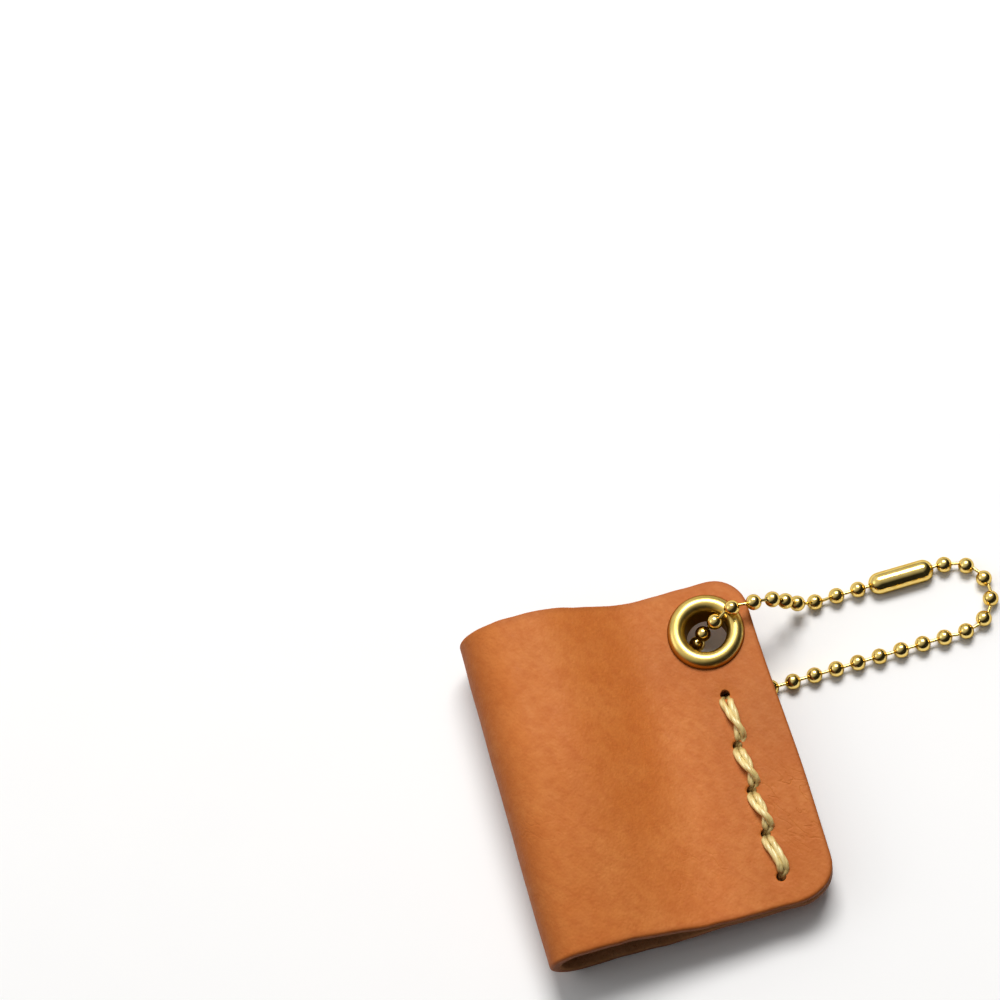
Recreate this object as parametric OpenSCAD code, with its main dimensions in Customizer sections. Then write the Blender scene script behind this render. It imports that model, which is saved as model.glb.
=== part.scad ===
// Leather pen holder: one strip folded round into a sleeve and sewn flat as a double flap,
// with a brass eyelet in its corner and a loop of ball chain through the eyelet.
// X runs from the fold to the free edge of the flap, Y along the pen, Z up from the table.
// The origin is the middle of the flat back face that the holder lies on.

/* [Leather strip] */
// Length of the sleeve along the pen
sleeve_len = 42.5; // [20:0.5:120]
// Thickness of the leather
leather_t = 1.5; // [1:0.1:3]
// Inner radius of the fold that grips the pen
sleeve_r = 4.8; // [3.5:0.1:9]
// Depth of the pen's bore in the leather of the fold
grip_depth = 0.1; // [0.05:0.01:0.3]
// Length, from the eyelet's end, over which the sleeve keeps its full height
grip_len = 15; // [8:0.5:40]
// Height of the fold at the far end, where the empty sleeve has sunk
sunk_h = 9; // [6:0.1:12]
// Width of the flat part of the back that lies on the table
rest_w = 6.6; // [4:0.2:12]
// Width of the level crown on top of the fold
crown_w = 2.3; // [0.5:0.1:5]
// Width of the slope from the crown down to the flap
front_run = 15; // [10:0.5:25]
// Width of the slope that lifts the back of the flap
back_run = 10; // [6:0.5:15]
// How far the fold sits towards the eyelet's end
fold_shift = 0.7; // [0.1:0.1:2]
// Width of the flat double flap
flap_w = 12.7; // [12:0.1:40]
// Height of the flap above the table, which leaves room for the chain
flap_lift = 3.2; // [3:0.1:6]
// Gap between the two layers of the flap
layer_gap = 0.1; // [0.05:0.05:0.4]
// Radius of the flap's two outer corners
corner_r = 4.5; // [1:0.5:7]

/* [Eyelet] */
// Distance of the eyelet's middle from the flap's free edge
eyelet_inset = 6; // [5.5:0.5:10]
// Distance of the eyelet's middle from the flap's top edge
eyelet_drop = 6.5; // [5.5:0.5:10]
// Inner radius of the eyelet's barrel
bore_r = 2.6; // [2:0.1:4]
// Thickness of the brass sheet
sheet_t = 0.3; // [0.2:0.05:0.5]
// Outer radius of the half-round front rim
rim_r = 4.85; // [4:0.05:6]
// Outer radius of the back washer
washer_r = 4.3; // [3.7:0.1:6]
// Thickness of the back washer
washer_t = 0.35; // [0.2:0.05:0.6]

/* [Stitching] */
// Diameter of the waxed thread as it lies in a stitch
thread_d = 1; // [0.4:0.1:1.2]
// Distance of the row of stitches from the flap's free edge
stitch_inset = 6.2; // [4:0.2:10]
// Distance of the first hole from the top edge
stitch_top = 14.8; // [12:0.2:20]
// Length of one stitch
stitch_len = 6; // [3:0.2:8]
// Number of stitches
stitches = 4; // [1:1:4]

/* [Ball chain] */
// Diameter of a ball
ball_d = 2; // [1.6:0.1:2.2]
// Thickness of a ball's wall
ball_wall = 0.15; // [0.1:0.01:0.2]
// Diameter of the link wire
wire_d = 0.4; // [0.3:0.02:0.45]
// Diameter of the heads at a link's ends
head_d = 0.64; // [0.5:0.02:0.7]
// Number of ball spaces round the whole chain
chain_spaces = 37; // [32:1:42]
// Distance from the eyelet's middle to the far end of the chain loop
chain_reach = 36; // [28:0.5:44]
// Distance between the two straight runs of the chain
loop_w = 9.2; // [8:0.2:12]
// Number of balls from the eyelet's rim to the connector
connector_count = 9; // [9:1:10]
// Thickness of the connector's sheet
connector_t = 0.3; // [0.2:0.05:0.4]

/* [Fits] */
// Clearance round the eyelet's barrel and the thread
hole_gap = 0.15; // [0.1:0.05:0.3]
// Clearance between parts that lie on each other
seat_gap = 0.04; // [0.02:0.01:0.1]
// Clearance between the chain and what it lies on or runs in
chain_gap = 0.1; // [0.05:0.05:0.2]
// Clearance between a link's wire and the hole in the ball
wire_gap = 0.09; // [0.05:0.01:0.12]
// Clearance of a link's head in the middle of the ball
head_gap = 0.025; // [0.01:0.005:0.05]

/* [Hidden] */
$fn = 64;
// Overrun of every cut
over = 0.5;
// Number of flat steps round the fold, along each slope and along the part that has sunk
fold_steps = 15;
slope_steps = 10;
sag_steps = 8;

// Sleeve and flap, worked out from the sizes above
sleeve_x = -rest_w / 2;
fold_mid_r = sleeve_r - grip_depth + leather_t / 2;
sleeve_z = leather_t / 2 + fold_mid_r;
fold_x = sleeve_x - sleeve_z;
sunk_mid_r = (sunk_h - leather_t) / 2;
sunk_x = fold_x + sunk_h / 2;
front_z = flap_lift + leather_t + layer_gap;
flap_top = front_z + leather_t;
front_x = sleeve_x + crown_w + front_run;
back_x = rest_w / 2 + back_run;
edge_x = front_x + flap_w;
top_y = sleeve_len / 2;
sag_y = top_y - grip_len;

// Middle line of the strip seen from its end, from the front layer's free edge round the fold to
// the back layer's free edge
function slope(x, z, to_x, to_z) = [
    for (k = [0 : slope_steps])
        [x + (to_x - x) * k / slope_steps, z + (to_z - z) * (1 - cos(180 * k / slope_steps)) / 2]
];
function fold(x, r) = [
    for (k = [0 : fold_steps]) let(a = 90 + 180 * k / fold_steps) [x, leather_t / 2 + r] + r * [cos(a), sin(a)]
];
function middle_line(x, r) = concat(
    [[edge_x, front_z + leather_t / 2]],
    slope(front_x, front_z + leather_t / 2, x + crown_w, leather_t / 2 + 2 * r),
    fold(x, r),
    slope(rest_w / 2, leather_t / 2, back_x, flap_lift + leather_t / 2),
    [[edge_x, flap_lift + leather_t / 2]]
);
full_line = middle_line(sleeve_x, fold_mid_r);
sunk_line = middle_line(sunk_x, sunk_mid_r);
line_count = len(full_line);

// How far the strip has sunk at a place along the pen, from none to all
function sag_at(y) = y >= sag_y ? 0 : 1 - cos(90 * (sag_y - y) / (sleeve_len - grip_len));
stations = concat([top_y], [for (k = [0 : sag_steps]) sag_y - (sleeve_len - grip_len) * k / sag_steps]);

// One ring of the strip: its grain side from edge to edge, then its inner side back again
function line_at(sag) = [for (i = [0 : line_count - 1]) full_line[i] * (1 - sag) + sunk_line[i] * sag];
function way_out(line, i) =
    let(way = line[min(i + 1, line_count - 1)] - line[max(i - 1, 0)]) [way.y, -way.x] / norm(way);
function shift_at(x) = fold_shift * (1 - cos(180 * min(1, max(0, 1 - x / front_x)))) / 2;
function strip_point(line, i, off, y) =
    let(p = line[i] + off * way_out(line, i)) [p.x, y + shift_at(line[i].x), p.y];
function ring_at(y) =
    let(line = line_at(sag_at(y)))
    concat(
        [for (i = [0 : line_count - 1]) strip_point(line, i, leather_t / 2, y)],
        [for (i = [line_count - 1 : -1 : 0]) strip_point(line, i, -leather_t / 2, y)]
    );

// Eyelet
eyelet_x = edge_x - eyelet_inset;
eyelet_y = top_y - eyelet_drop;
barrel_r = bore_r + sheet_t;
rim_mid_r = (bore_r + rim_r) / 2;
rim_tube_r = (rim_r - bore_r) / 2;
rim_top = flap_top + seat_gap + rim_tube_r;
washer_top = flap_lift - seat_gap;
lip_top = washer_top - washer_t - seat_gap;
lip_r = barrel_r + 2 * sheet_t;

// Stitching
stitch_x = edge_x - stitch_inset;
stitch_y = top_y - stitch_top;
thread_top = flap_top + seat_gap + thread_d / 2;
thread_bottom = flap_lift - seat_gap - thread_d / 2;
thread_bend_r = 0.8 * thread_d;

// Ball chain
ball_r = ball_d / 2;
wire_r = wire_d / 2;
wire_hole_r = wire_r + wire_gap;
hole_off = ball_r - ball_wall / 2;
head_depth = hole_off - head_d / 2 - head_gap;
connector_bore_r = ball_r + chain_gap;
connector_r = connector_bore_r + connector_t;

// Places that the chain's route follows
run_y = eyelet_y + 0.29 * rim_r;
back_y = run_y - loop_w;
mid_y = run_y - loop_w / 2;
turn_r = loop_w / 2;
under_share = 0.8;
under_r = under_share * turn_r;
far_x = eyelet_x + chain_reach;
deck_z = rim_top + chain_gap + ball_r;
lean = bore_r - ball_r - chain_gap;
crest_x = eyelet_x + 1.2 * eyelet_inset + ball_r;
down_share = 0.5;
land_x = crest_x + down_share * deck_z;
turn_angle = 15;

// Route of the chain's middle line: from the front rim out over the edge and down to the table,
// round the far end, back under the flap and up through the eyelet
front_route = [
    [eyelet_x + 0.8 * rim_r, run_y, deck_z],
    [crest_x, run_y, deck_z - 0.3 * ball_r],
    [crest_x + 0.8 * ball_d, run_y, deck_z - ball_d],
    [land_x, run_y, ball_r + 0.6 * ball_d],
    [land_x + ball_d, run_y, ball_r]
];
far_route = [
    for (a = [90 : -turn_angle : -90])
        [far_x - turn_r + turn_r * cos(a), mid_y + turn_r * sin(a), ball_r]
];
under_x = eyelet_x - lean - 1.376 * ball_d;
under_route = [
    for (a = [270 : -turn_angle : 90])
        [under_x + under_r * cos(a), back_y + under_r + under_r * sin(a), ball_r]
];
hole_route = [
    [eyelet_x - lean - 0.8 * ball_d, eyelet_y - 0.2 * ball_r, ball_r],
    [eyelet_x - 0.75 * lean, eyelet_y - 0.1 * ball_r, lip_top + 0.3 * ball_r],
    [eyelet_x - 0.2 * lean, eyelet_y + 0.2 * ball_r, flap_top - 0.6 * ball_r],
    [eyelet_x + 0.32 * rim_r, eyelet_y + 0.65 * ball_r, deck_z - 0.8 * ball_r]
];
route = concat(front_route, far_route, under_route, hole_route, [front_route[0]]);

// Balls sit at even steps along the route
function length_to(i) = i == 0 ? 0 : length_to(i - 1) + norm(route[i] - route[i - 1]);
route_marks = [for (i = [0 : len(route) - 1]) length_to(i)];
route_len = route_marks[len(route) - 1];
function leg_of(s) = len([for (i = [1 : len(route) - 2]) if (route_marks[i] <= s) i]);
function on_leg(s, i) =
    route[i] + (route[i + 1] - route[i]) * (s - route_marks[i]) / (route_marks[i + 1] - route_marks[i]);
pitch = route_len / chain_spaces;
function wrap(i) = (i + chain_spaces) % chain_spaces;
function ball_at(i) = on_leg(wrap(i) * pitch, leg_of(wrap(i) * pitch));
function unit(v) = v / norm(v);
function ball_way(i) = unit(ball_at(i + 1) - ball_at(i - 1));
echo(ball_pitch = pitch, chain_length = route_len);

// The chain folds in three rows, each through a ball of the front run and its partner behind,
// and each row is given by the number of balls that lie before it
near_count = 7;
mid_count = 11;
far_count = 12;
half_way = route_marks[len(front_route) + (len(far_route) - 1) / 2];
last_ball = 2 * floor(half_way / pitch) + 1;
balls = [for (i = [0 : chain_spaces - 1]) if (i != connector_count) i];
near_links = [for (i = [0 : chain_spaces - 1]) if (i < near_count || i >= last_ball - near_count) i];
mid_links = [
    for (i = [near_count : last_ball - near_count - 1])
        if ((i < mid_count || i >= last_ball - mid_count) && i != connector_count && i != connector_count - 1) i
];
far_links = [for (i = [mid_count : last_ball - mid_count - 1]) if (i < far_count || i >= last_ball - far_count) i];
end_links = [for (i = [far_count : last_ball - far_count - 1]) i];
function ball_name(i) = str("chain_ball_", i < 10 ? "0" : "", i);

// The strip as one skin over its rings, closed by a row of small faces at each end
module strip() {
    ring_count = 2 * line_count;
    last = (len(stations) - 1) * ring_count;
    polyhedron(
        points = [for (y = stations) each ring_at(y)],
        faces = concat(
            [
                for (j = [0 : len(stations) - 2], i = [0 : ring_count - 1])
                    let(a = j * ring_count + i, b = j * ring_count + (i + 1) % ring_count)
                    each [[a, b + ring_count, b], [a, a + ring_count, b + ring_count]]
            ],
            [
                for (i = [0 : line_count - 2])
                    let(a = i, b = i + 1, c = ring_count - 2 - i, d = ring_count - 1 - i)
                    each [[a, b, c], [a, c, d], last * [1, 1, 1] + [a, c, b], last * [1, 1, 1] + [a, d, c]]
            ]
        ),
        convexity = 6
    );
}

// The holder seen from above, with the flap's two outer corners rounded
module plan() {
    left_x = fold_x - over;
    end_y = top_y + fold_shift + over;
    translate([left_x, -end_y])
        square([edge_x - corner_r - left_x, 2 * end_y]);
    translate([left_x, corner_r - top_y])
        square([edge_x + over - left_x, sleeve_len - 2 * corner_r]);
    for (side = [-1, 1])
        translate([edge_x - corner_r, side * (top_y - corner_r)])
            circle(corner_r);
}

module at_eyelet() {
    translate([eyelet_x, eyelet_y, 0])
        children();
}

module at_stitch_holes() {
    for (i = [0 : stitches])
        translate([stitch_x, stitch_y - i * stitch_len, 0])
            children();
}

module leather_body() {
    color("peru")
        difference() {
            intersection() {
                strip();
                translate([0, 0, -over])
                    linear_extrude(height = 2 * sleeve_z + 2 * over)
                        plan();
            }
            translate([sleeve_x, sag_y, sleeve_z])
                rotate([-90, 0, 0])
                    cylinder(h = grip_len + fold_shift + over, r = sleeve_r);
            at_eyelet()
                cylinder(h = flap_top + over, r = barrel_r + hole_gap);
            at_stitch_holes()
                cylinder(h = flap_top + over, r = thread_d / 2 + hole_gap);
        }
}

// Half-round rim, straight barrel and the lip that is rolled out over the washer
module eyelet_profile() {
    seat_z = flap_top + seat_gap;
    translate([rim_mid_r, seat_z])
        intersection() {
            difference() {
                circle(rim_tube_r);
                circle(rim_tube_r - sheet_t);
            }
            translate([-rim_r, 0])
                square([2 * rim_r, rim_r]);
        }
    translate([bore_r, lip_top - sheet_t])
        square([sheet_t, seat_z - lip_top + sheet_t]);
    translate([bore_r, lip_top - sheet_t])
        square([lip_r - bore_r - sheet_t / 2, sheet_t]);
    translate([lip_r - sheet_t / 2, lip_top - sheet_t / 2])
        circle(sheet_t / 2);
}

module eyelet() {
    color("gold")
        at_eyelet()
            rotate_extrude()
                eyelet_profile();
}

module eyelet_washer() {
    color("darkgoldenrod")
        at_eyelet()
            translate([0, 0, washer_top - washer_t])
                difference() {
                    cylinder(h = washer_t, r = washer_r);
                    translate([0, 0, -over])
                        cylinder(h = washer_t + 2 * over, r = barrel_r + hole_gap);
                }
}

// One row of stitches on a face of the flap, each bent down into the hole at either end
module stitch_row(z, side) {
    for (i = [0 : stitches - 1])
        translate([stitch_x, stitch_y - i * stitch_len, z]) {
            translate([0, -thread_bend_r, 0])
                rotate([90, 0, 0])
                    cylinder(h = stitch_len - 2 * thread_bend_r, d = thread_d);
            for (to = [0, 1])
                translate([0, -to * stitch_len, 0])
                    mirror([0, to, 0])
                        translate([0, -thread_bend_r, -side * thread_bend_r])
                            rotate([90, 0, 90])
                                rotate(side > 0 ? 0 : -90)
                                    rotate_extrude(angle = 90)
                                        translate([thread_bend_r, 0])
                                            circle(d = thread_d);
        }
}

// The doubled thread, sewn down through every hole and along both faces of the flap
module stitching() {
    color("khaki") {
        at_stitch_holes()
            translate([0, 0, thread_bottom + thread_bend_r])
                cylinder(h = thread_top - thread_bottom - 2 * thread_bend_r, d = thread_d);
        stitch_row(thread_top, 1);
        stitch_row(thread_bottom, -1);
    }
}

module turned_to(way) {
    rotate([0, acos(way.z), atan2(way.y, way.x)])
        children();
}

// Hollow ball with a hole at each pole for the wires of its two links
module chain_ball(i) {
    color("gold")
        translate(ball_at(i))
            turned_to(ball_way(i))
                difference() {
                    sphere(ball_r);
                    sphere(ball_r - ball_wall);
                    cylinder(h = ball_d + over, r = wire_hole_r, center = true);
                }
}

// Wire with a head at each end, held inside ball i and the ball after it
module link(i) {
    leave = ball_at(i) + hole_off * ball_way(i);
    enter = ball_at(i + 1) - hole_off * ball_way(i + 1);
    way = unit(enter - leave);
    wire_len = norm(enter - leave) + 2 * head_depth;
    translate(leave - head_depth * way)
        turned_to(way) {
            cylinder(h = wire_len, r = wire_r);
            sphere(d = head_d);
            translate([0, 0, wire_len])
                sphere(d = head_d);
        }
}

module chain_links(list) {
    color("goldenrod")
        for (i = list)
            link(i);
}

// Snap connector: a round-ended tube, open along its underside, that holds one ball at each end
module chain_connector() {
    half_span = norm(ball_at(connector_count + 1) - ball_at(connector_count - 1)) / 2;
    color("gold")
        translate(ball_at(connector_count))
            turned_to(ball_way(connector_count))
                difference() {
                    capsule(connector_r, half_span);
                    capsule(connector_bore_r, half_span);
                    cylinder(h = 2 * (half_span + connector_r + over), r = wire_hole_r, center = true);
                    translate([0, -wire_hole_r, -half_span - connector_r - over])
                        cube([connector_r + over, 2 * wire_hole_r, 2 * (half_span + connector_r + over)]);
                    translate([ball_r, -connector_r - over, -half_span - connector_r - over])
                        cube([connector_r, 2 * (connector_r + over), 2 * (half_span + connector_r + over)]);
                    rotate([0, 90, 0])
                        cylinder(h = connector_r + over, r = connector_bore_r);
                }
}

module capsule(r, half_span) {
    cylinder(h = 2 * half_span, r = r, center = true);
    for (side = [-1, 1])
        translate([0, 0, side * half_span])
            sphere(r);
}

leather_body();
eyelet();
eyelet_washer();
stitching();
for (i = balls)
    chain_ball(i);
chain_links(near_links);  // chain_links_near
chain_links(mid_links);  // chain_links_mid
chain_links(far_links);  // chain_links_far
chain_links(end_links);  // chain_links_end
chain_connector();
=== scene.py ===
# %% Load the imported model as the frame
from math import cos, pi, radians, sin

import bpy
import numpy as np
from mathutils import Matrix, Vector, noise


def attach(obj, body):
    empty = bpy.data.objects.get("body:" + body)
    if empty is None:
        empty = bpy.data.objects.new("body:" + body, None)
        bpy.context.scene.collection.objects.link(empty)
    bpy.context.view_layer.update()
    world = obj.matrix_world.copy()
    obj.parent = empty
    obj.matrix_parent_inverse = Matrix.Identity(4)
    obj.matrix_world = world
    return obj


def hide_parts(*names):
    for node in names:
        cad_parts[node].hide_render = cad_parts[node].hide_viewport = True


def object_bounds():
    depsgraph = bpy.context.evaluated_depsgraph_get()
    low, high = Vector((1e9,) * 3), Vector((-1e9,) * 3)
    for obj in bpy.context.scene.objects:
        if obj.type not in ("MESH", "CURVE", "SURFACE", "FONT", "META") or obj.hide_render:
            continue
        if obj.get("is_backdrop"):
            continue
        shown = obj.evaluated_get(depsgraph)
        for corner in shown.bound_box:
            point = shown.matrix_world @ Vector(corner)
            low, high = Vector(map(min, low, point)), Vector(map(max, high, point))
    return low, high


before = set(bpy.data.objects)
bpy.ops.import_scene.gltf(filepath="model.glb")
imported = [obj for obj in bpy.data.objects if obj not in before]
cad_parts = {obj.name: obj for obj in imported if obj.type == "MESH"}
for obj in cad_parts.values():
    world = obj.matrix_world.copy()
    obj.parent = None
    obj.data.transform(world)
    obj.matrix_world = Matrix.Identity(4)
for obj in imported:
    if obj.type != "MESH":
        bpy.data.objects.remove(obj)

cad_box = [list(corner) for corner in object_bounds()]
print("the CAD model's box in metres:", cad_box)

# %% [markdown]
# # A leather pen holder
# One strip of tan leather is folded round into a sleeve for a pen and sewn flat as a double flap.
# A brass eyelet sits in the flap's corner and holds a loop of ball chain.
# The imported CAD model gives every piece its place. This lesson dresses it: the leather and the
# thread are soft, so they get meshes of their own, and the brass pieces keep the CAD's exact
# shapes and get new finishes.
#
# Sizes below are written in millimetres and turned into metres where a mesh is made. The pen lies
# along Y, X runs from the fold to the flap's free edge, and Z stands up from the table.

# %% Sizes that the pieces share
MM = 0.001
sleeve_len = 42.5
leather_t = 1.5
edge_x = 26.7
top_y = sleeve_len / 2
flap_under, flap_top = 3.2, 6.3
eyelet_at = (20.7, 14.75)
stitch_x = 20.5
holes = [(20.72, 6.35), (20.35, -0.35), (20.4, -6.3), (20.5, -12.0), (20.8, -17.6)]
print("stitch holes, sewn by hand and not quite even:", holes)

# %% [markdown]
# ## Camera
# The photograph looks down on the holder from about 20 degrees off the vertical, from the side of
# the sleeve's lower end, and the holder lies turned by 16 degrees in the picture. A long lens from
# 43 cm away gives the gentle perspective of such a close picture.
# The camera is placed by the point it aims at, its lean and its turn, which is easier to adjust
# than a bare position and three angles.

# %% Place the camera
camera_aim = Vector((0.51, 39.46, 6.0)) * MM
camera_distance = 426.1 * MM
camera_lean, camera_side, camera_roll = radians(20), radians(-88), radians(-16.03)
back = Vector((
    sin(camera_lean) * cos(camera_side),
    sin(camera_lean) * sin(camera_side),
    cos(camera_lean),
))
right = Vector((0, 1, 0)).cross(back).normalized()
up = back.cross(right)
turned_right = cos(camera_roll) * right + sin(camera_roll) * up
turned_up = cos(camera_roll) * up - sin(camera_roll) * right
camera = bpy.data.objects.new("camera", bpy.data.cameras.new("camera"))
bpy.context.scene.collection.objects.link(camera)
camera.matrix_world = Matrix((turned_right, turned_up, back)).transposed().to_4x4()
camera.location = camera_aim + camera_distance * back
camera.data.sensor_width = 36
camera.data.lens = 120
camera.data.clip_start, camera.data.clip_end = 0.01, 20
bpy.context.scene.camera = camera
print("camera at", [round(c, 4) for c in camera.location])

# %% [markdown]
# ## Table and light
# The holder lies on a plain pale surface under soft studio light. One large lamp beyond the
# eyelet's end gives the thread and the brass their long highlights, a weak card on the left draws a
# second one round the rim, and the world adds a soft fill. A small hard lamp would throw a sharp
# shadow, which the photograph doesn't have.

# %% Lay the table
def mesh_object(name, points, faces, materials=()):
    mesh = bpy.data.meshes.new(name)
    mesh.from_pydata([Vector(p) * MM for p in points], [], faces)
    for material in materials:
        mesh.materials.append(material)
    mesh.validate()
    mesh.polygons.foreach_set("use_smooth", [True] * len(mesh.polygons))
    made = bpy.data.objects.new(name, mesh)
    bpy.context.scene.collection.objects.link(made)
    return made


table_half, table_down = 1500, 0.02
table = mesh_object(
    "table",
    [(x * table_half, y * table_half, -table_down) for x, y in ((-1, -1), (1, -1), (1, 1), (-1, 1))],
    [(0, 1, 2, 3)],
)
table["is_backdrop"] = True
print("table laid,", 2 * table_half * MM, "m wide")

# %% Hang the lamps
def soft_lamp(name, place, aim, width, height, power, color=(1, 1, 1)):
    lamp = bpy.data.lights.new(name, "AREA")
    lamp.shape = "RECTANGLE"
    lamp.size, lamp.size_y = width, height
    lamp.energy, lamp.color = power, color
    made = bpy.data.objects.new(name, lamp)
    bpy.context.scene.collection.objects.link(made)
    made.location = place
    made.rotation_euler = (Vector(place) - Vector(aim)).to_track_quat("Z", "Y").to_euler()
    return made


middle = (0.012, 0, 0.005)
key_lamp = soft_lamp(
    "key_lamp", place=(0.17, 0.51, 0.82), aim=middle, width=0.50, height=0.34, power=8.6,
    color=(1, 0.985, 0.97),
)
left_card = soft_lamp(
    "left_card", place=(-0.62, 0.18, 0.42), aim=middle, width=0.36, height=0.36, power=0.45
)
print("lamps:", key_lamp.name, key_lamp.data.energy, left_card.name, left_card.data.energy)

# %% [markdown]
# ## Helpers for materials
# A material is a small graph of nodes. Every input of a node is either joined to another node or
# set to a plain value, so one helper does both, and the others are built on it. They keep the
# graphs short to write and to read.

# %% Node helpers
def feed(tree, node, inputs):
    for name, value in inputs.items():
        socket = node.inputs[name]
        if isinstance(value, bpy.types.NodeSocket):
            tree.links.new(value, socket)
        elif socket.type == "RGBA":
            socket.default_value = (*value, 1)
        else:
            socket.default_value = value


def add(tree, kind, inputs=None, **settings):
    node = tree.nodes.new(kind)
    for name, value in settings.items():
        setattr(node, name, value)
    feed(tree, node, inputs or {})
    return node


def reckon(tree, operation, first, second=None):
    inputs = {0: first} if second is None else {0: first, 1: second}
    return add(tree, "ShaderNodeMath", inputs, operation=operation).outputs[0]


def reckon_vector(tree, operation, first, second):
    return add(tree, "ShaderNodeVectorMath", {0: first, 1: second}, operation=operation)


def spread(tree, value, from_min, from_max, to_min, to_max):
    inputs = {0: value, 1: from_min, 2: from_max, 3: to_min, 4: to_max}
    return add(tree, "ShaderNodeMapRange", inputs).outputs[0]


def mix_color(tree, factor, first, second):
    return add(tree, "ShaderNodeMix", {0: factor, 6: first, 7: second}, data_type="RGBA").outputs[2]


def blank_material(name):
    material = bpy.data.materials.new(name)
    material.use_nodes = True
    tree = material.node_tree
    tree.nodes.clear()
    shader = add(tree, "ShaderNodeBsdfPrincipled")
    add(tree, "ShaderNodeOutputMaterial", {"Surface": shader.outputs[0]})
    place = add(tree, "ShaderNodeTexCoord").outputs["Object"]
    return material, tree, shader, place


def height_of(tree, place):
    return add(tree, "ShaderNodeSeparateXYZ", {"Vector": place}).outputs["Z"]


print("helpers ready")

# %% [markdown]
# ## The table's finish and the world
# The table is a matt, pale sheet with the faintest unevenness, so that it isn't a perfect flat
# tone. It looks pale to the camera and in the brass, but the light that it throws back up is that
# of a wooden table, so the fold's underside and the hole of the eyelet stay as deep as they are in
# the photograph.
# Brass shows what is around it, so the world is brightest overhead and beyond the fold and dark on
# the other side, as in a room with a window on one side. That gives the rim its bright crest and
# its darker outer slope. In a reflection the world's bright side is lifted to white, and the camera
# sees the whole world as plain white, which gives the white background.

# %% Finish the table
table_finish, tree, shader, place = blank_material("table_pale")
speckle = add(tree, "ShaderNodeTexNoise", {"Vector": place, "Scale": 60.0, "Detail": 4.0}).outputs["Fac"]
pale = mix_color(tree, speckle, (0.93, 0.93, 0.93), (0.95, 0.95, 0.945))
bounced = add(tree, "ShaderNodeLightPath").outputs["Is Diffuse Ray"]
thrown_back = (0.42, 0.37, 0.32)
feed(tree, shader, {
    "Base Color": mix_color(tree, bounced, pale, thrown_back),
    "Roughness": 0.9,
    "Specular IOR Level": 0.1,
})
table.data.materials.append(table_finish)
print("table finished as", table_finish.name)

# %% Make the world
bright_way = (-0.40, 0.58, 0.71)
bright_from, bright_full = 0.22, 0.95
dark_level, bright_level = 0.02, 0.84
lift_in_brass = 1.3
world = bpy.data.worlds.new("studio")
bpy.context.scene.world = world
world.use_nodes = True
tree = world.node_tree
tree.nodes.clear()
ray_way = add(tree, "ShaderNodeTexCoord").outputs["Generated"]
facing = reckon_vector(tree, "DOT_PRODUCT", ray_way, bright_way).outputs["Value"]
room = spread(tree, facing, bright_from, bright_full, dark_level, bright_level)
rays = add(tree, "ShaderNodeLightPath")
lift = spread(tree, rays.outputs["Is Glossy Ray"], 0, 1, 1, lift_in_brass)
room_light = add(tree, "ShaderNodeBackground", {"Strength": reckon(tree, "MULTIPLY", room, lift)})
white = add(tree, "ShaderNodeBackground", {"Strength": 1.0})
seen = rays.outputs["Is Camera Ray"]
either = add(tree, "ShaderNodeMixShader", {0: seen, 1: room_light.outputs[0], 2: white.outputs[0]})
add(tree, "ShaderNodeOutputWorld", {"Surface": either.outputs[0]})
bpy.context.scene.view_settings.view_transform = "Standard"
print("world of", len(tree.nodes), "nodes")

# %% [markdown]
# ## Groups that several finishes share
# The leather and the thread need the same kinds of marks at their own sizes, and so do the satin
# and the polished brass. A node group is made once, takes the sizes as named inputs and puts out
# masks. Each material then decides which colours and how much relief the masks give.

# %% Helper: a group that works in millimetres
def shader_group(name, sizes, masks):
    tree = bpy.data.node_groups.new(name, "ShaderNodeTree")
    tree.interface.new_socket("Place", in_out="INPUT", socket_type="NodeSocketVector")
    for label, value in sizes.items():
        socket = tree.interface.new_socket(label, in_out="INPUT", socket_type="NodeSocketFloat")
        socket.default_value = value
    for label in masks:
        tree.interface.new_socket(label, in_out="OUTPUT", socket_type="NodeSocketFloat")
    given = add(tree, "NodeGroupInput").outputs
    in_mm = add(tree, "ShaderNodeVectorMath", {0: given["Place"], "Scale": 1 / MM}, operation="SCALE")
    return tree, given, in_mm.outputs[0], add(tree, "NodeGroupOutput")


print("group helper ready")

# %% [markdown]
# ## What the three faces of leather share
# The strip shows three kinds of leather: the smooth grain side, the fuzzy flesh side inside the
# sleeve, and the cut edge. All three have cloudy blotches where the tan went in unevenly, short
# streaks along the hide's growth, which runs slantwise here, and a fine relief of pores. Where the
# leather was bent a few thin creases stay. One group makes them all from the place on the mesh, in
# millimetres, and each material sets its own blotch and pore size. A scale is one divided by a
# size, because noise with a scale of one has spots about a millimetre wide here.

# %% Group: leather skin
growth_angle, growth_stretch = radians(51), (0.5, 1.3, 1.3)
small_per_blotch, fibre_per_pore = 5.5, 0.45
crease_scale, crease_width = 0.42, 0.03
skin, given, in_mm, gives = shader_group(
    "leather skin",
    {"Blotch Size": 7.0, "Pore Size": 0.35, "Pore Depth": 1.0},
    ("Blotches", "Clouds", "Streaks", "Relief", "Creases"),
)


def skin_noise(where, scale, detail, roughness, distortion=0.0):
    inputs = {"Vector": where, "Scale": scale, "Detail": detail, "Roughness": roughness}
    return add(skin, "ShaderNodeTexNoise", inputs | {"Distortion": distortion}).outputs["Fac"]


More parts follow.
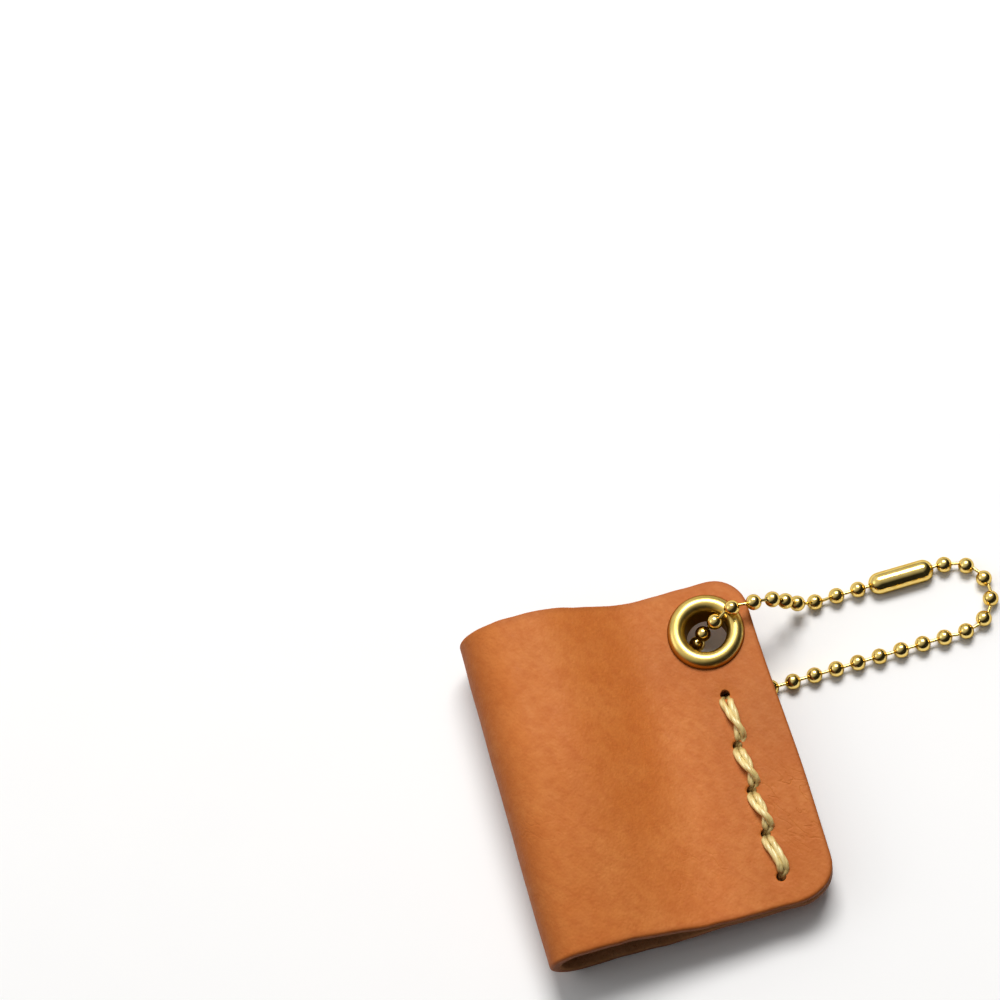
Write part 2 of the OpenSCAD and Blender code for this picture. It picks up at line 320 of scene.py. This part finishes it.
blotch_scale = reckon(skin, "DIVIDE", 1, given["Blotch Size"])
pore_scale = reckon(skin, "DIVIDE", 1, given["Pore Size"])
small_scale = reckon(skin, "MULTIPLY", blotch_scale, small_per_blotch)
fibre_scale = reckon(skin, "MULTIPLY", pore_scale, fibre_per_pore)
turn = {"Vector": in_mm, "Angle": growth_angle}
turned = add(skin, "ShaderNodeVectorRotate", turn, rotation_type="Z_AXIS").outputs[0]
drawn_out = reckon_vector(skin, "MULTIPLY", turned, growth_stretch).outputs[0]
pores = add(skin, "ShaderNodeTexVoronoi", {"Vector": in_mm, "Scale": pore_scale}, feature="SMOOTH_F1")
pore_part = reckon(skin, "MULTIPLY", pores.outputs["Distance"], given["Pore Depth"])
bends = skin_noise(drawn_out, crease_scale, 2.0, 0.5, distortion=0.6)
from_line = reckon(skin, "ABSOLUTE", reckon(skin, "SUBTRACT", bends, 0.5))
feed(skin, gives, {
    "Blotches": skin_noise(in_mm, small_scale, 5.0, 0.65),
    "Clouds": skin_noise(in_mm, blotch_scale, 3.0, 0.6),
    "Streaks": skin_noise(drawn_out, small_scale, 4.0, 0.6),
    "Relief": reckon(skin, "ADD", pore_part, skin_noise(in_mm, fibre_scale, 6.0, 0.7)),
    "Creases": spread(skin, from_line, 0, crease_width, 1, 0),
})
print("group made:", skin.name, "with", len(skin.nodes), "nodes")

# %% [markdown]
# ## Three leather finishes
# The grain side is matt vegetable-tanned leather: a warm tan with soft clouds and fine pores. It is
# darker at the rim where the cut edge was rubbed down, which is wear, and it has painted shade along
# the fold, on the flap and in the valley beside the eyelet. The mesh stores how much each point is
# worn or shaded and how much it was bent, and the material reads them to darken it and to let the
# creases show.
# The flesh side is paler and rough. The cut edge is browner, with a finer mottle.

# %% Make the leather finishes
cloud_range, blotch_range, streak_range = (0.36, 0.64), (0.42, 0.72), (0.42, 0.72)
blotch_share, streak_share, wear_and_shade_tint = 0.50, 0.42, 0.6
relief_depth = 0.12


def mesh_mark(tree, name):
    return add(tree, "ShaderNodeAttribute", attribute_name=name).outputs["Fac"]


def leather_finish(name, light, dark, deep, rough, blotch, pore, pore_depth, bump, darken):
    material, tree, shader, place = blank_material(name)
    sizes = {"Blotch Size": blotch, "Pore Size": pore, "Pore Depth": pore_depth}
    look = add(tree, "ShaderNodeGroup", {"Place": place} | sizes, node_tree=skin).outputs
    base = mix_color(tree, spread(tree, look["Clouds"], *cloud_range, 0, 1), dark, light)
    base = mix_color(tree, spread(tree, look["Blotches"], *blotch_range, 0, blotch_share), base, deep)
    base = mix_color(tree, spread(tree, look["Streaks"], *streak_range, 0, streak_share), base, deep)
    # Wear at the cut edges, and painted shade at the fold, on the flap and beside the eyelet, darken the
    # base colour here.
    wear_and_shade_color = tuple(wear_and_shade_tint * c for c in deep)
    base = mix_color(tree, spread(tree, mesh_mark(tree, "wear_and_shade"), 0, 1, 0, darken), base, wear_and_shade_color)
    crease = reckon(tree, "MULTIPLY", look["Creases"], mesh_mark(tree, "bent"))
    relief = reckon(tree, "SUBTRACT", look["Relief"], crease)
    dents = add(tree, "ShaderNodeBump", {"Height": relief, "Strength": bump, "Distance": relief_depth * MM})
    feed(tree, shader, {
        "Base Color": base,
        "Roughness": spread(tree, look["Blotches"], 0.3, 0.8, rough - 0.05, rough + 0.08),
        "Normal": dents.outputs[0],
        "Specular IOR Level": 0.25,
    })
    return material


grain_side = leather_finish(
    "leather_grain",
    light=(0.625, 0.200, 0.040), dark=(0.575, 0.161, 0.025), deep=(0.480, 0.113, 0.016),
    rough=0.60, blotch=7.0, pore=0.33, pore_depth=0.8, bump=0.34, darken=0.60,
)
flesh_side = leather_finish(
    "leather_flesh",
    light=(0.56, 0.27, 0.12), dark=(0.47, 0.21, 0.085), deep=(0.40, 0.17, 0.06),
    rough=0.85, blotch=3.0, pore=0.22, pore_depth=1.4, bump=0.8, darken=0.1,
)
cut_edge = leather_finish(
    "leather_edge",
    light=(0.42, 0.145, 0.045), dark=(0.33, 0.10, 0.03), deep=(0.22, 0.065, 0.022),
    rough=0.62, blotch=1.2, pore=0.18, pore_depth=1.0, bump=0.6, darken=0.0,
)
print("leather finishes:", grain_side.name, flesh_side.name, cut_edge.name)

# %% [markdown]
# ## Brass
# The eyelet is satin brass and the chain is polished. Both carry the marks of handling: a slow
# change of tone where the metal has dulled, and hairline scratches that widen the highlights.
# A shared group gives both marks, and each finish sets how strong they are. Each finish also has
# painted shade towards a foot: the rim of the eyelet is painted dark where it meets the leather, and
# the chain is painted a little darker where it touches the table. The eyelet has painted shade inside
# its bore too.
# A tint on what it reflects at a low angle keeps the outer slopes golden.

# %% Group: handled brass
scratch_stretch = (1, 0.12, 0.5)
handled, given, in_mm, gives = shader_group(
    "handled brass", {"Tarnish Size": 2.0, "Scratch Size": 0.25}, ("Tarnish", "Scratches")
)
tarnish_scale = reckon(handled, "DIVIDE", 1, given["Tarnish Size"])
scratch_scale = reckon(handled, "DIVIDE", 1, given["Scratch Size"])
tarnish = add(handled, "ShaderNodeTexNoise", {"Vector": in_mm, "Scale": tarnish_scale, "Detail": 4.0})
stretched = reckon_vector(handled, "MULTIPLY", in_mm, scratch_stretch).outputs[0]
hairlines = {"Vector": stretched, "Scale": scratch_scale, "Detail": 5.0, "Roughness": 0.7}
scratches = add(handled, "ShaderNodeTexNoise", hairlines)
feed(handled, gives, {"Tarnish": tarnish.outputs["Fac"], "Scratches": scratches.outputs["Fac"]})
print("group made:", handled.name, "with", len(handled.nodes), "nodes")

# %% Make the brass finishes
painted_shade_tint, bore_fade = (0.22, 0.17, 0.12), 0.5
scratch_size, scratch_depth = 0.22, 0.02


def brass_finish(name, bright, dull, smooth, rough, tarnish_size, scratch, foot, foot_shade, bore=0):
    material, tree, shader, place = blank_material(name)
    sizes = {"Tarnish Size": tarnish_size, "Scratch Size": scratch_size}
    look = add(tree, "ShaderNodeGroup", {"Place": place} | sizes, node_tree=handled).outputs
    base = mix_color(tree, spread(tree, look["Tarnish"], 0.35, 0.7, 0, 1), bright, dull)
    # Painted shade: darker towards the foot and inside the eyelet's bore.
    painted_shade = spread(tree, height_of(tree, place), foot[0] * MM, foot[1] * MM, foot_shade, 0)
    if bore:
        centre = Vector((*eyelet_at, 0)) * MM
        flat = reckon_vector(tree, "MULTIPLY", place, (1, 1, 0)).outputs[0]
        away = reckon_vector(tree, "DISTANCE", flat, centre).outputs["Value"]
        inside = spread(tree, away, bore * MM, (bore + bore_fade) * MM, 1, 0)
        painted_shade = reckon(tree, "MAXIMUM", painted_shade, inside)
    painted_shade_color = tuple(c * share for c, share in zip(dull, painted_shade_tint))
    marks = {"Height": look["Scratches"], "Strength": scratch, "Distance": scratch_depth * MM}
    feed(tree, shader, {
        "Base Color": mix_color(tree, painted_shade, base, painted_shade_color),
        "Roughness": spread(tree, look["Scratches"], 0.3, 0.75, smooth, rough),
        "Normal": add(tree, "ShaderNodeBump", marks).outputs[0],
        "Metallic": 1,
        "Specular Tint": (0.55, 0.40, 0.16),
    })
    return material


brass_satin = brass_finish(
    "brass_satin", bright=(0.84, 0.63, 0.19), dull=(0.70, 0.49, 0.13), smooth=0.27, rough=0.33,
    tarnish_size=2.2, scratch=0.04, foot=(6.4, 7.4), foot_shade=0.95, bore=2.6,
)
brass_bright = brass_finish(
    "brass_bright", bright=(0.88, 0.66, 0.22), dull=(0.78, 0.55, 0.16), smooth=0.10, rough=0.22,
    tarnish_size=1.1, scratch=0.12, foot=(0.0, 0.8), foot_shade=0.4,
)
brass_nodes = [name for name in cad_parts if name.startswith(("eyelet", "chain"))]
for name in brass_nodes:
    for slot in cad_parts[name].material_slots:
        slot.material = brass_satin if name.startswith("eyelet") else brass_bright
print("brass on", len(brass_nodes), "CAD pieces")

# %% [markdown]
# ## Waxed thread
# The thread is cream-gold and slightly glossy from its wax. Its twist is real geometry, made
# below, so the material only adds what is finer than a ply: a fine fuzz of fibres and a small
# change of tone. On the front it has painted shade, and it gets darker as it dips towards the holes.

# %% Make the thread's finish
dark_to, unshaded_from, thread_shade_level = 5.9, 6.75, 0.75
back_to, front_from = 3.2, 4.0
waxed_thread, tree, shader, place = blank_material("waxed_thread")
sizes = {"Blotch Size": 1.6, "Pore Size": 0.09, "Pore Depth": 0.6}
look = add(tree, "ShaderNodeGroup", {"Place": place} | sizes, node_tree=skin).outputs
gold, cream, shaded_thread_color = (0.68, 0.50, 0.17), (0.90, 0.74, 0.34), (0.30, 0.19, 0.05)
base = mix_color(tree, spread(tree, look["Clouds"], 0.35, 0.7, 0, 1), gold, cream)
height = height_of(tree, place)
# Painted shade: darker near the leather's face, on the front only.
entry_shade = spread(tree, height, dark_to * MM, unshaded_from * MM, thread_shade_level, 0)
on_front = spread(tree, height, back_to * MM, front_from * MM, 0, 1)
fuzz = add(tree, "ShaderNodeBump", {"Height": look["Relief"], "Strength": 0.4, "Distance": 0.03 * MM})
feed(tree, shader, {
    "Base Color": mix_color(tree, reckon(tree, "MULTIPLY", entry_shade, on_front), base, shaded_thread_color),
    "Normal": fuzz.outputs[0],
    "Roughness": 0.34,
    "Specular IOR Level": 0.9,
})
print("thread finish:", waxed_thread.name)

# %% [markdown]
# ## The shape of the strip, seen from its end
# The strip's middle line is drawn twice. Near the eyelet it is the sleeve that a pen has shaped: a
# round fold, a level crown and a long slope down to the flap. At the other end nothing holds the
# empty leather open, so it has sunk to a lower fold.
# Every point of the leather lies between these two lines, by how far it has sunk.
# Both lines start at the front layer's free edge, go round the fold and end at the back layer's
# free edge, and both have the same number of points in each stretch, so they can be blended.
# A slope is half a cosine wave, because it leaves one level and reaches the other without a kink.

# %% Draw the two middle lines
full_height, sunk_height, grip_len = 12.4, 9.0, 15.0
fold_left, flat_end, front_x, back_x = -9.5, 3.3, 14.0, 13.3
crown_len = 2.3
front_slope_points, crown_points, fold_points, base_points, back_slope_points = 34, 6, 44, 12, 20
front_mid = flap_top - leather_t / 2
back_mid = flap_under + leather_t / 2
edge_steps = np.array([0, 0.05, 0.13, 0.24, 0.38, 0.6, 0.9, 1.25])
even_from, even_step = 1.7, 0.55


def slope(x, z, to_x, to_z, count):
    share = np.linspace(0, 1, count)
    return np.c_[x + (to_x - x) * share, z + (to_z - z) * (1 - np.cos(pi * share)) / 2]


def level(x, to_x, z, count):
    return np.c_[np.linspace(x, to_x, count), np.full(count, z)]


def flap_layer(from_x, z):
    length = edge_x - from_x
    marks = np.r_[edge_steps, np.linspace(even_from, length, int(length / even_step))]
    return np.c_[edge_x - marks, np.full(len(marks), z)]


def middle_line(height):
    radius = (height - leather_t) / 2
    x, z = fold_left + height / 2, height / 2
    crown_x, crown_z = x + crown_len, z + radius
    turns = np.linspace(pi / 2, 3 * pi / 2, fold_points)
    return np.r_[
        flap_layer(front_x, front_mid),
        slope(front_x, front_mid, crown_x, crown_z, front_slope_points)[1:],
        level(crown_x, x, crown_z, crown_points)[1:],
        np.c_[x + radius * np.cos(turns), z + radius * np.sin(turns)][1:],
        level(x, flat_end, leather_t / 2, base_points)[1:],
        slope(flat_end, leather_t / 2, back_x, back_mid, back_slope_points)[1:],
        flap_layer(back_x, back_mid)[::-1][1:],
    ]


full_line, sunk_line = middle_line(full_height), middle_line(sunk_height)
strip_marks = np.r_[0, np.cumsum(np.linalg.norm(np.diff(full_line, axis=0), axis=1))]
strip_len = strip_marks[-1]
print("strip", round(strip_len, 1), "mm long,", len(full_line), "points")

# %% [markdown]
# ## The leather mesh
# The mesh is a grid: one direction follows the strip's line, the other runs along the pen. Each
# grid point is pushed out by half the leather's thickness on both sides. Close to a cut edge the
# push is smaller, along a quarter circle, which gives the rubbed-down, rounded edge. Near the
# flap's corners the rows are drawn together, so the grid itself follows the corner's arc.
# A sheet with a thickness modifier would be quicker, but it gives hard cut edges and can't round
# them by the distance from the cut.

# %% Grid of the strip
corner_r, edge_round, half_rows = 4.5, 0.36, 34
row_marks = np.r_[edge_steps, np.linspace(even_from, top_y, half_rows)]
row_y = np.r_[-top_y + row_marks, (top_y - row_marks)[::-1][1:]]
from_free = np.minimum(strip_marks, strip_len - strip_marks)
inset = np.clip(corner_r - from_free, 0, None)
half_len = top_y - corner_r + np.sqrt(np.clip(corner_r ** 2 - inset ** 2, 0, None))
half_len = np.where(from_free < corner_r, half_len, top_y)
grid_y = row_y[:, None] / top_y * half_len[None, :]
columns, rows = len(strip_marks), len(row_y)


def edge_distance(free, end):
    in_corner = (free < corner_r) & (end < corner_r)
    round_off = corner_r - np.hypot(corner_r - free, corner_r - end)
    return np.where(in_corner, round_off, np.minimum(free, end))


to_edge = edge_distance(from_free[None, :], top_y - np.abs(grid_y)).clip(0)
print("grid of", columns, "by", rows)

# %% Blend the two lines and find which way is out
past_grip = (top_y - grip_len - grid_y) / (sleeve_len - grip_len)
sunk = 1 - np.cos(pi / 2 * np.clip(past_grip, 0, 1))
line_x = (1 - sunk) * full_line[:, 0] + sunk * sunk_line[:, 0]
line_z = (1 - sunk) * full_line[:, 1] + sunk * sunk_line[:, 1]
along_x = np.gradient(line_x, axis=1)
along_z = np.gradient(line_z, axis=1)
along = np.hypot(along_x, along_z)
out_x, out_z = along_z / along, -along_x / along
round_over = np.clip(edge_round - to_edge, 0, None)
half_thick = leather_t / 2 - edge_round + np.sqrt(edge_round ** 2 - round_over ** 2)
print("deepest sag", round(float(full_line[:, 1].max() - line_z[0].max()), 2), "mm")

# %% [markdown]
# ## Signs of the hand
# A strip that was cut, folded and sewn by hand is never quite even. Slow waves run over it, the cut
# wanders, the free edge isn't quite square, the free corner droops, the fold has slid a little
# towards the eyelet's end, and the thread pulls dents into the front. Where the leather rests on
# the table it stays flat.
# Sculpting could give the same, but formulas can be changed later, and they give the same mesh on
# each run.

# %% Shapes that the unevenness is made of
def waves(size, seed):
    points = zip(line_x.ravel() / size + seed, grid_y.ravel() / size, line_z.ravel() / size)
    return np.array([noise.noise(Vector(point)) for point in points]).reshape(line_x.shape)


def bump_at(centre_x, centre_y, width):
    return np.exp(-((line_x - centre_x) ** 2 + (grid_y - centre_y) ** 2) / width ** 2)


def ease(share):
    share = np.clip(share, 0, 1)
    return share * share * (3 - 2 * share)


droop, droop_from, droop_len = 0.5, 6, 15


def droop_at(y):
    return droop * np.clip((-y - droop_from) / droop_len, 0, 1) ** 2


print("the free corner droops by up to", droop, "mm")

# %% Make the strip uneven
flap_starts, flap_ease_len = 13, 6
wave_height, wave_size, ripple_height, ripple_size = 0.16, 13, 0.05, 4.5
calm_round_eyelet, calm_share_on_flap = 7.5, 0.75
off_square, off_square_from_x, off_square_from_y, off_square_len = 0.65, 20.7, 14, 22
wander, wander_size, wander_reach = 0.10, 2.2, 1.5
fold_slide = 0.7
wave_seed, ripple_seed, wander_seed = 3.1, 8.7, 5.5

on_flap = np.clip((line_x - flap_starts) / flap_ease_len, 0, 1)
slow = wave_height * waves(wave_size, wave_seed) + ripple_height * waves(ripple_size, ripple_seed)
slow = slow * (1 - bump_at(*eyelet_at, calm_round_eyelet)) * (1 - calm_share_on_flap * on_flap)
line_z = line_z - on_flap * droop_at(grid_y)
wider = ease((line_x - off_square_from_x) / (edge_x - off_square_from_x))
line_x = line_x + off_square * wider * ease((off_square_from_y - grid_y) / off_square_len)
near_cut = np.clip(1 - to_edge / wander_reach, 0, 1)
cut_wander = wander * waves(wander_size, wander_seed) * near_cut
slide_share = (1 - np.cos(pi * np.clip(1 - line_x / front_x, 0, 1))) / 2
moved_y = grid_y + np.sign(grid_y) * cut_wander + fold_slide * slide_share
print("waves of", round(float(np.abs(slow).max()), 2), "mm at most")

# %% Push out the two surfaces
seam_dent, seam_width, seam_middle, seam_half, seam_fade = 0.10, 1.5, -5.55, 12.9, 1.2
hole_dent, hole_width = 0.16, 1.1
dents_ease_len = 3


def thread_dents():
    across = np.exp(-((line_x - stitch_x) / seam_width) ** 2)
    dents = seam_dent * across * np.clip((seam_half - np.abs(grid_y - seam_middle)) / seam_fade, 0, 1)
    for hole in holes:
        dents = dents + hole_dent * bump_at(*hole, hole_width)
    return dents * np.clip((line_x - front_x) / dents_ease_len, 0, 1)


def surface(side):
    push = side * half_thick + slow
    x, z = line_x + out_x * push, line_z + out_z * push
    if side > 0:
        z = z - out_z * thread_dents()
    return np.stack([x, moved_y, np.maximum(z, 0)], axis=-1).reshape(-1, 3)


outer, inner = surface(1), surface(-1)
print("lowest point", round(float(min(outer[:, 2].min(), inner[:, 2].min())), 3), "mm")

# %% Faces of the strip
def vertex(row, column):
    return row * columns + column


count = rows * columns
faces, kinds = [], []
for row in range(rows - 1):
    for column in range(columns - 1):
        a, b = vertex(row, column), vertex(row, column + 1)
        c, d = vertex(row + 1, column + 1), vertex(row + 1, column)
        faces += [(a, b, c, d), (count + d, count + c, count + b, count + a)]
        kinds += [0, 1]
rim = [vertex(0, c) for c in range(columns)]
rim += [vertex(r, columns - 1) for r in range(1, rows)]
rim += [vertex(rows - 1, c) for c in range(columns - 2, -1, -1)]
rim += [vertex(r, 0) for r in range(rows - 2, 0, -1)]
for here, there in zip(rim, rim[1:] + rim[:1]):
    faces.append((there, here, count + here, count + there))
    kinds.append(2)
leather = mesh_object("leather_strip", np.r_[outer, inner], faces, (grain_side, flesh_side, cut_edge))
leather.data.polygons.foreach_set("material_index", kinds)
print(len(faces), "faces")

# %% [markdown]
# ## Marks of wear, painted shade and bending on the leather
# The mesh carries two marks that the finishes read. One says how much a point is darkened: by wear
# at the cut edges, and by painted shade at the fold, on the flap and in the valley beside the eyelet.
# The other says where the leather was bent, so that creases show there and nowhere else. Painting
# them would work as well, but a formula follows the shape when a size changes. Each spot is its x,
# its y, its width and its strength.

# %% Mark the worn, the shaded and the bent places
rim_width, fold_width, fold_shade, flap_shade = 0.55, 2.8, 0.95, 0.32
# Spots of painted shade: on the flap and in the valley between the sleeve and the eyelet.
shade_spots = ((25.5, 2.0, 6.5, 0.30), (15.0, 13.0, 5.0, 0.30))
bent_spots = (
    (24.3, -8.0, 3.2, 2.0), (25.2, -13.5, 2.4, 1.3), (12.0, -14.0, 4.0, 0.8),
    (10.5, 8.0, 3.5, 0.6), (-6.0, -6.0, 4.0, 0.5),
)


def all_spots(spots):
    return sum(strength * bump_at(x, y, width) for x, y, width, strength in spots)


# At the cut edges the darkening is wear. At the fold, on the flap and at the spots it is painted shade.
at_rim = np.exp(-(to_edge / rim_width) ** 2)
fold_shading = fold_shade * np.exp(-((line_x - fold_left) / fold_width) ** 2)
wear_and_shade = np.maximum(at_rim, fold_shading + flap_shade * on_flap + all_spots(shade_spots))
for label, values in (("wear_and_shade", wear_and_shade), ("bent", all_spots(bent_spots))):
    marks = leather.data.attributes.new(label, "FLOAT", "POINT")
    marks.data.foreach_set("value", np.tile(values.ravel(), 2).astype(np.float32))
    print(label, "up to", round(float(values.max()), 2))

# %% [markdown]
# ## Holes in the leather
# The eyelet's barrel and the thread pass through both layers of the flap. The holes are cut with a
# boolean, which is the exact way to take a round shape out of a dense grid. The five stitch holes
# are narrow, as an awl makes them.

# %% Cut the holes
eyelet_hole_r, awl_r, overrun = 3.05, 0.62, 1.5


def drill(name, x, y, radius, sides):
    angles = [2 * pi * k / sides for k in range(sides)]
    levels = (flap_under - overrun, flap_top + overrun)
    points = [(x + radius * cos(a), y + radius * sin(a), z) for z in levels for a in angles]
    walls = [(k, (k + 1) % sides, sides + (k + 1) % sides, sides + k) for k in range(sides)]
    caps = [tuple(range(sides))[::-1], tuple(range(sides, 2 * sides))]
    return mesh_object(name, points, walls + caps, (cut_edge,))


def cut(piece, tool):
    cutting = piece.modifiers.new("hole", "BOOLEAN")
    cutting.operation, cutting.object, cutting.solver = "DIFFERENCE", tool, "EXACT"
    cutting.material_mode = "TRANSFER"
    done = bpy.data.meshes.new_from_object(piece.evaluated_get(bpy.context.evaluated_depsgraph_get()))
    piece.modifiers.clear()
    piece.data = done
    bpy.data.objects.remove(tool)


cut(leather, drill("eyelet_drill", *eyelet_at, eyelet_hole_r, sides=40))
for index, hole in enumerate(holes):
    cut(leather, drill(f"awl_{index}", *hole, awl_r, sides=20))
print(len(leather.data.vertices), "points after the holes,", len(leather.data.materials), "finishes")

# %% [markdown]
# ## The stitching
# Each stitch is a doubled thread: two strands side by side, and each strand is three plies twisted
# together. On the front the pair comes up out of one hole, swings a little to the side, crosses
# over itself and dives into the next hole. The last stitch doesn't cross, and its two strands
# lie parallel. On the back they lie flat, clear of the chain.
# A ply is a round tube swept along a path, and the path is a strand's line plus a small turning
# offset. So the twist is in the mesh and catches the light as rope does.

# %% Sweep a tube along a path
any_way = (0.3, 0.1, 1.0)


def frames_along(path):
    ways = np.gradient(path, axis=0)
    ways /= np.linalg.norm(ways, axis=1)[:, None]
    side = np.cross(ways[0], any_way)
    sides = []
    for way in ways:
        side = side - way * (side @ way)
        side = side / np.linalg.norm(side)
        sides.append(side)
    sides = np.array(sides)
    return sides, np.cross(ways, sides)


def tube(path, radius, around=8):
    first, second = frames_along(path)
    turns = np.linspace(0, 2 * pi, around, endpoint=False)[None, :, None]
    rings = path[:, None] + radius * (np.cos(turns) * first[:, None] + np.sin(turns) * second[:, None])
    walls = []
    for ring in range(len(path) - 1):
        for k in range(around):
            a, b = ring * around + k, ring * around + (k + 1) % around
            walls.append((a, b, b + around, a + around))
    last = (len(path) - 1) * around
    caps = [tuple(range(around))[::-1], tuple(range(last, last + around))]
    return rings.reshape(-1, 3), walls + caps


strand_r, ply_r, ply_count, twist_len = 0.44, 0.32, 3, 5.2


def twisted_plies(strand):
    first, second = frames_along(strand)
    run = np.r_[0, np.cumsum(np.linalg.norm(np.diff(strand, axis=0), axis=1))]
    plies = []
    for ply in range(ply_count):
        angle = 2 * pi * (run / twist_len + ply / ply_count)
        offset = np.cos(angle)[:, None] * first + np.sin(angle)[:, None] * second
        plies.append(tube(strand + (strand_r - ply_r) * offset, ply_r))
    return plies


print("strand", 2 * strand_r, "mm thick, one turn in", twist_len, "mm")

# %% Shape one stitch
stitch_points = 64
thread_depth, stand_out = 1.5, {1: 0.46, -1: 0.30}
rise_flatness, rise_roundness = 3.4, 0.8
tuck_in, tuck_share = 0.16, 0.1
sway_at = (0, 0.15, 0.33, 0.53, 0.75, 0.9, 1)
sway_shares = (0, -0.05, 0.17, 0.50, 0.68, 0.62, 0.05)
apart_at = (0, 0.12, 0.3, 0.55, 0.85, 1)
cross_from, cross_len, cross_delay, cross_lift = 0.35, 0.5, 1.2, 0.5
pressed = 0.03


def centre_line(start, end, face_z, side, sway, share):
    (start_x, start_y), (end_x, end_y) = start, end
    tuck = np.exp(-(share / tuck_share) ** 2) - np.exp(-((1 - share) / tuck_share) ** 2)
    rise = (1 - np.abs(2 * share - 1) ** rise_flatness) ** rise_roundness
    x = start_x + (end_x - start_x) * share + sway * np.interp(share, sway_at, sway_shares)
    y = start_y + (end_y - start_y) * share + np.sign(end_y - start_y) * tuck_in * tuck
    z = face_z + side * (-thread_depth + (thread_depth + stand_out[side]) * rise)
    return np.c_[x, y, z]


def stitch(start, end, face_z, side, crossing, sway, splay=0.0):
    share = np.linspace(0, 1, stitch_points)
    centre = centre_line(start, end, face_z, side, sway, share)
    way = np.gradient(centre, axis=0)
    way /= np.linalg.norm(way, axis=1)[:, None]
    across = np.cross(way, (0, 0, side))
    across /= np.linalg.norm(across, axis=1)[:, None]
    upward = np.cross(across, way)
    turn = crossing * pi * np.clip((share - cross_from) / cross_len, 0, 1) ** cross_delay
    apart_shares = (0.6 + splay, 1 + splay, 1 - 0.3 * splay, 0.85, 0.95, 0.5)
    apart = (strand_r - pressed) * np.interp(share, apart_at, apart_shares)
    beside = (apart * np.cos(turn))[:, None] * across + (apart * np.sin(turn))[:, None] * upward
    lift = side * cross_lift * apart * np.abs(np.sin(turn))
    made = []
    for half in (-1, 1):
        strand = centre + half * beside
        strand[:, 2] += lift
        made += twisted_plies(strand)
    return made


print("a stitch stands", stand_out[1], "mm out on the front and", stand_out[-1], "mm on the back")

# %% Sew the four stitches
front_sunk, back_sunk = 0.12, 0.16
front_sways, back_sway, first_splay = (1.0, 1.0, 1.0, 0.9), 0.3, 0.32


def joined(name, tubes, materials):
    points, faces = [], []
    for ring_points, ring_faces in tubes:
        faces += [tuple(len(points) + k for k in face) for face in ring_faces]
        points += [tuple(p) for p in ring_points]
    return mesh_object(name, points, faces, materials)


tubes = []
for index, (start, end, sway) in enumerate(zip(holes, holes[1:], front_sways)):
    drop = float(droop_at((start[1] + end[1]) / 2))
    is_first, is_last = index == 0, index == len(front_sways) - 1
    splay = first_splay if is_first else 0.0
    tubes += stitch(start, end, flap_top - front_sunk - drop, 1, not is_last, sway, splay)
    tubes += stitch(start, end, flap_under + back_sunk - drop, -1, False, back_sway)
thread = joined("sewn_thread", tubes, (waxed_thread,))
print(len(thread.data.polygons), "faces of thread")

# %% [markdown]
# ## Joining everything to the frame
# The leather and its thread ride on the holder, a body of the CAD model. They replace the plain CAD
# solids, which stay hidden but still collide in the simulation.

# %% Ride and replace
for piece, node, slot in ((leather, "leather_body", "leather"), (thread, "stitching", "thread")):
    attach(piece, "holder")
    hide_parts(node)
print("sheet of", round(strip_len, 1), "by", sleeve_len, "mm")

# %% Write down the two boxes
dressed_box = [list(corner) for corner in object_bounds()]
for axis, letter in enumerate("XYZ"):
    beyond = [round((dressed_box[k][axis] - cad_box[k][axis]) / MM, 2) for k in (0, 1)]
    print(letter, beyond, "mm beyond the CAD box")
